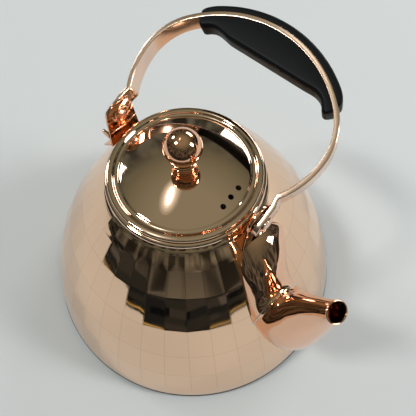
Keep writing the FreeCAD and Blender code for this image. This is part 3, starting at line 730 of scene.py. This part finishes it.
def spout():
    """The spout's two parts and the raised line between them."""
    turn = Matrix.Rotation(math.radians(SPOUT_TURN), 4, "Z")
    around = 80
    last = len(SPOUT_STATIONS) - 1

    def ring(t, shrink):
        """Oval across the spout at t from root to lip, shrunk by a wall's thickness."""
        back_x, back_z, belly_x, belly_z, across, shift = spline(SPOUT_STATIONS, t)
        back, belly = Vector((back_x, 0, back_z)), Vector((belly_x, 0, belly_z))
        middle = (back + belly) / 2 + Vector((0, shift, 0))
        half = (back - belly) / 2
        half = half * (1 - shrink / half.length)
        points = []
        for i in range(around):
            a = 2 * math.pi * i / around
            points.append(middle + Vector((0, (across - shrink) * math.cos(a), 0)) + half * math.sin(a))
        return points

    parts = (("spout_root", "spout_boot", 0.0, SEAM_STATION / last),
             ("spout_swan_neck", "spout_neck", SEAM_STATION / last, 1.0))
    for name, node, low, high in parts:
        steps = int(110 * (high - low))
        outer = [ring(low + (high - low) * i / steps, 0.0) for i in range(steps + 1)]
        inner = [ring(low + (high - low) * i / steps, SPOUT_WALL) for i in range(steps, -1, -1)]
        if high == 1.0:
            # the lip's edge is rounded over, along the way that the spout points there
            half_wall = SPOUT_WALL / 2
            push = Vector((0.559, 0, 0.829))
            for a in (45, 90, 135):
                ahead, shrink = polar(90 - a, half_wall)[0], half_wall - polar(a, half_wall)[0]
                outer.append([p + push * ahead for p in ring(1.0, shrink)])
        verts, faces = loft(outer + inner + [outer[0]], caps=False)
        piece(name, verts, faces, "vessel", SPOUT, [node], crease=50, matrix=turn)

    # bright weld line round the elbow where the two halves of the spout meet
    line = []
    for shift, grow in ((-0.0045, 0.0), (-0.003, 0.16), (0.0, 0.24), (0.003, 0.16), (0.0045, 0.0)):
        line.append(ring(SEAM_STATION / last + shift, -grow - 0.005))
    for shift in (0.0045, -0.0045):
        line.append(ring(SEAM_STATION / last + shift, 0.1))
    verts, faces = loft(line + [line[0]], caps=False)
    piece("spout_weld", verts, faces, "vessel", WELD, crease=50, matrix=turn)


faceted_body()
collar()
base()
lid()
knob()
strap()
grips()
ears()
rivets()
spout()

# CAD nodes that keep their own meshes
for node in ("base_pan", "heat_spreader_disc", "lid_skirt", "whistle_cup", "whistle_lower_disc",
             "whistle_upper_disc", "knob_washer", "knob_screw", "front_pivot_washer",
             "rear_pivot_washer", "grip_screws"):
    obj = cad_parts[node]
    obj.data.materials.clear()
    obj.data.materials.append(STEEL)


# ------------------------------------------------------------------ floor, light and camera
def floor():
    """Plain pale matt floor."""
    material = bpy.data.materials.new("floor_mat")
    material.use_nodes = True
    shader = material.node_tree.nodes["Principled BSDF"]
    shader.inputs["Base Color"].default_value = (0.70, 0.735, 0.735, 1)
    shader.inputs["Roughness"].default_value = 0.6
    shader.inputs["Specular IOR Level"].default_value = 0.0
    mesh = bpy.data.meshes.new("floor")
    size = 12.0
    corners = [(-size, -size, 0), (size, -size, 0), (size, size, 0), (-size, size, 0)]
    mesh.from_pydata(corners, [], [(0, 1, 2, 3)])
    mesh.materials.append(material)
    obj = bpy.data.objects.new("floor", mesh)
    bpy.context.scene.collection.objects.link(obj)


def softbox(name, place, aim, width, height, power, colour=(1, 1, 1), shape="RECTANGLE", roll=0.0):
    """Area light in metres and watts, aimed at a point and rolled about its own line of sight."""
    data = bpy.data.lights.new(name, "AREA")
    data.shape = shape
    data.size, data.size_y = width, height
    data.energy = power
    data.color = colour
    obj = bpy.data.objects.new(name, data)
    obj.location = place
    facing = (Vector(aim) - Vector(place)).to_track_quat("-Z", "Y").to_matrix()
    obj.rotation_euler = (facing @ Matrix.Rotation(math.radians(roll), 3, "Z")).to_euler()
    bpy.context.scene.collection.objects.link(obj)


def room():
    """What the metal mirrors: a dim room, brighter overhead, with uneven upright panels."""
    world = bpy.data.worlds.new("studio")
    bpy.context.scene.world = world
    world.use_nodes = True
    nodes, links = world.node_tree.nodes, world.node_tree.links
    background = nodes["Background"]
    place = nodes.new("ShaderNodeTexCoord")
    split = nodes.new("ShaderNodeSeparateXYZ")
    links.new(place.outputs["Generated"], split.inputs["Vector"])
    ramp = nodes.new("ShaderNodeValToRGB")
    links.new(split.outputs["Z"], ramp.inputs["Fac"])
    bands = [(0.0, (0.06, 0.06, 0.05)), (0.10, (0.04, 0.04, 0.035)), (0.22, (0.09, 0.09, 0.07)),
             (0.30, (0.05, 0.05, 0.04)), (0.40, (0.055, 0.060, 0.050)), (0.62, (0.065, 0.070, 0.056)),
             (0.80, (0.165, 0.168, 0.115)), (0.95, (0.25, 0.25, 0.185))]
    elements = ramp.color_ramp.elements
    elements[0].position, elements[0].color = bands[0][0], (*bands[0][1], 1)
    elements[1].position, elements[1].color = bands[-1][0], (*bands[-1][1], 1)
    for position, colour in bands[1:-1]:
        element = elements.new(position)
        element.color = (*colour, 1)
    # upright panels of uneven brightness all round, as the walls of a room give
    stretch = nodes.new("ShaderNodeMapping")
    stretch.inputs["Scale"].default_value = (1.0, 1.0, 0.25)
    links.new(place.outputs["Generated"], stretch.inputs["Vector"])
    panels = nodes.new("ShaderNodeTexNoise")
    panels.inputs["Scale"].default_value = 9.0
    panels.inputs["Detail"].default_value = 1.0
    links.new(stretch.outputs["Vector"], panels.inputs["Vector"])
    contrast = nodes.new("ShaderNodeMapRange")
    contrast.inputs["From Min"].default_value = 0.40
    contrast.inputs["From Max"].default_value = 0.62
    contrast.inputs["To Min"].default_value = 0.35
    contrast.inputs["To Max"].default_value = 2.2
    links.new(panels.outputs["Fac"], contrast.inputs["Value"])
    fade = nodes.new("ShaderNodeMapRange")
    fade.inputs["From Min"].default_value = 0.45
    fade.inputs["From Max"].default_value = 0.75
    links.new(split.outputs["Z"], fade.inputs["Value"])
    calm = nodes.new("ShaderNodeMix")
    calm.data_type = "FLOAT"
    links.new(fade.outputs["Result"], calm.inputs["Factor"])
    links.new(contrast.outputs["Result"], calm.inputs["A"])
    calm.inputs["B"].default_value = 1.0
    links.new(ramp.outputs["Color"], background.inputs["Color"])
    links.new(calm.outputs["Result"], background.inputs["Strength"])
    # what stands behind the object when the camera looks along the floor is plain and pale
    plain = nodes.new("ShaderNodeBackground")
    plain.inputs["Color"].default_value = (0.60, 0.61, 0.60, 1)
    path = nodes.new("ShaderNodeLightPath")
    choose = nodes.new("ShaderNodeMixShader")
    links.new(path.outputs["Is Camera Ray"], choose.inputs["Fac"])
    links.new(background.outputs["Background"], choose.inputs[1])
    links.new(plain.outputs["Background"], choose.inputs[2])
    # an even fill for whatever is not a mirror, as a bright room gives
    fill = nodes.new("ShaderNodeBackground")
    fill.inputs["Color"].default_value = (0.27, 0.275, 0.27, 1)
    spread = nodes.new("ShaderNodeMixShader")
    links.new(path.outputs["Is Diffuse Ray"], spread.inputs["Fac"])
    links.new(choose.outputs["Shader"], spread.inputs[1])
    links.new(fill.outputs["Background"], spread.inputs[2])
    links.new(spread.outputs["Shader"], nodes["World Output"].inputs["Surface"])


def lamps():
    """A key light high on the -X -Y side, weaker lamps all round and a soft glow for the lid."""
    softbox("key", (-1.0, -1.28, 2.62), (0, 0, 0.05), 0.42, 0.42, 24, (1.0, 0.98, 0.95))
    softbox("left", (-1.15, -0.1, 0.9), (0, 0, 0.05), 0.26, 0.24, 2.4)
    softbox("back", (-0.3, 1.5, 0.9), (0, 0, 0.05), 0.8, 0.4, 6)
    glow = ((0.28, 0.60, 0.06), (0.22, 0.50, 0.06), (0.16, 0.40, 0.06), (0.10, 0.30, 0.14))
    for width, length, power in glow:
        softbox(f"top_{round(width * 100)}", (-0.44, 0.05, 1.5 + width * 0.1), (0, 0, 0.05),
                width, length, power, (1.0, 0.99, 0.93), "ELLIPSE", 122)
    softbox("right", (1.3, 0.9, 1.2), (0.2, 0, 0.05), 0.4, 0.6, 15)


def flags():
    """Cards lying on the floor beyond a straight edge, seen only in the metal's reflections; they glow at
    set tones, mostly dark and one row golden, as painted reflections.
    """
    edge_distance, edge_azimuth = 0.285, -55.7
    # glow colours of the cards, painted reflections: near black to dim grey, and a golden tone for one thin
    # row
    glow_tones = ((0.004, 0.005, 0.006), (0.012, 0.015, 0.017), (0.022, 0.025, 0.023), (0.036, 0.038, 0.034),
             (0.09, 0.09, 0.08), (0.50, 0.38, 0.13))
    materials = []
    for k, glow_tone in enumerate(glow_tones):
        material = bpy.data.materials.new(f"flag_glow_{k}")
        material.use_nodes = True
        shader = material.node_tree.nodes["Principled BSDF"]
        shader.inputs["Base Color"].default_value = (0, 0, 0, 1)
        shader.inputs["Specular IOR Level"].default_value = 0.0
        shader.inputs["Emission Color"].default_value = (*glow_tone, 1)
        shader.inputs["Emission Strength"].default_value = 1.0
        materials.append(material)
    picks = random.Random(5)
    out = Vector((math.cos(math.radians(edge_azimuth)), math.sin(math.radians(edge_azimuth)), 0))
    along = Vector((-out.y, out.x, 0))
    rows = [0.0, 0.012, 0.020, 0.05, 0.085, 0.14, 0.23, 0.42, 0.9, 2.2, 9.0]
    # the tones that the cards of each row are picked from
    odds = ((0,), (5,), (0, 1), (1, 2, 3), (0, 1, 2), (0, 1, 3, 4), (1, 2, 2, 3), (0, 2, 3), (1, 2, 3),
            (2, 3, 4))
    half_sweep, height = 78.0, 0.0006
    verts, faces, kinds = [], [], []
    for row in range(len(rows) - 1):
        near, far = edge_distance + rows[row], edge_distance + rows[row + 1]
        angle = -half_sweep
        while angle < half_sweep:
            step = picks.uniform(4.0, 11.0)
            kind = picks.choice(odds[row])
            corners = []
            for distance, turn in ((near, angle), (far, angle), (far, angle + step), (near, angle + step)):
                side = distance * math.tan(math.radians(min(turn, 79.0)))
                corners.append(out * distance + along * side + Vector((0, 0, height)))
            start = len(verts)
            verts += [tuple(c) for c in corners]
            faces.append((start, start + 1, start + 2, start + 3))
            kinds.append(kind)
            angle += step
    mesh = bpy.data.meshes.new("flag_cards")
    mesh.from_pydata(verts, [], faces)
    for material in materials:
        mesh.materials.append(material)
    for face, kind in zip(mesh.polygons, kinds):
        face.material_index = kind
    obj = bpy.data.objects.new("flag_cards", mesh)
    bpy.context.scene.collection.objects.link(obj)
    obj.visible_camera = False
    obj.visible_diffuse = False
    obj.visible_shadow = False
    obj.visible_transmission = False


def camera():
    """Looks down from the front right; the target on the axis and the shifts are in millimetres."""
    azimuth, elevation, roll = 43.1, 62.7, -1.46
    distance, right_shift, up_shift, aim_level = 261.3, 9.6, 15.0, 38.2
    a, e, r = (math.radians(v) for v in (azimuth, elevation, roll))
    back = Vector((math.sin(a) * math.cos(e), -math.cos(a) * math.cos(e), math.sin(e)))
    right0 = Vector((math.cos(a), math.sin(a), 0))
    up0 = back.cross(right0)
    right = right0 * math.cos(r) + up0 * math.sin(r)
    up = up0 * math.cos(r) - right0 * math.sin(r)
    spot = Vector((0, 0, aim_level)) + back * distance + right * right_shift + up * up_shift
    data = bpy.data.cameras.new("camera")
    data.sensor_width = 36.0
    data.lens = 37.6
    data.clip_start = 0.01
    obj = bpy.data.objects.new("camera", data)
    rotation = Matrix((right, up, back)).transposed().to_4x4()
    obj.matrix_world = Matrix.Translation(spot * MM) @ rotation
    bpy.context.scene.collection.objects.link(obj)
    bpy.context.scene.camera = obj


floor()
flags()
room()
lamps()
camera()
bpy.context.scene.view_settings.view_transform = "Standard"
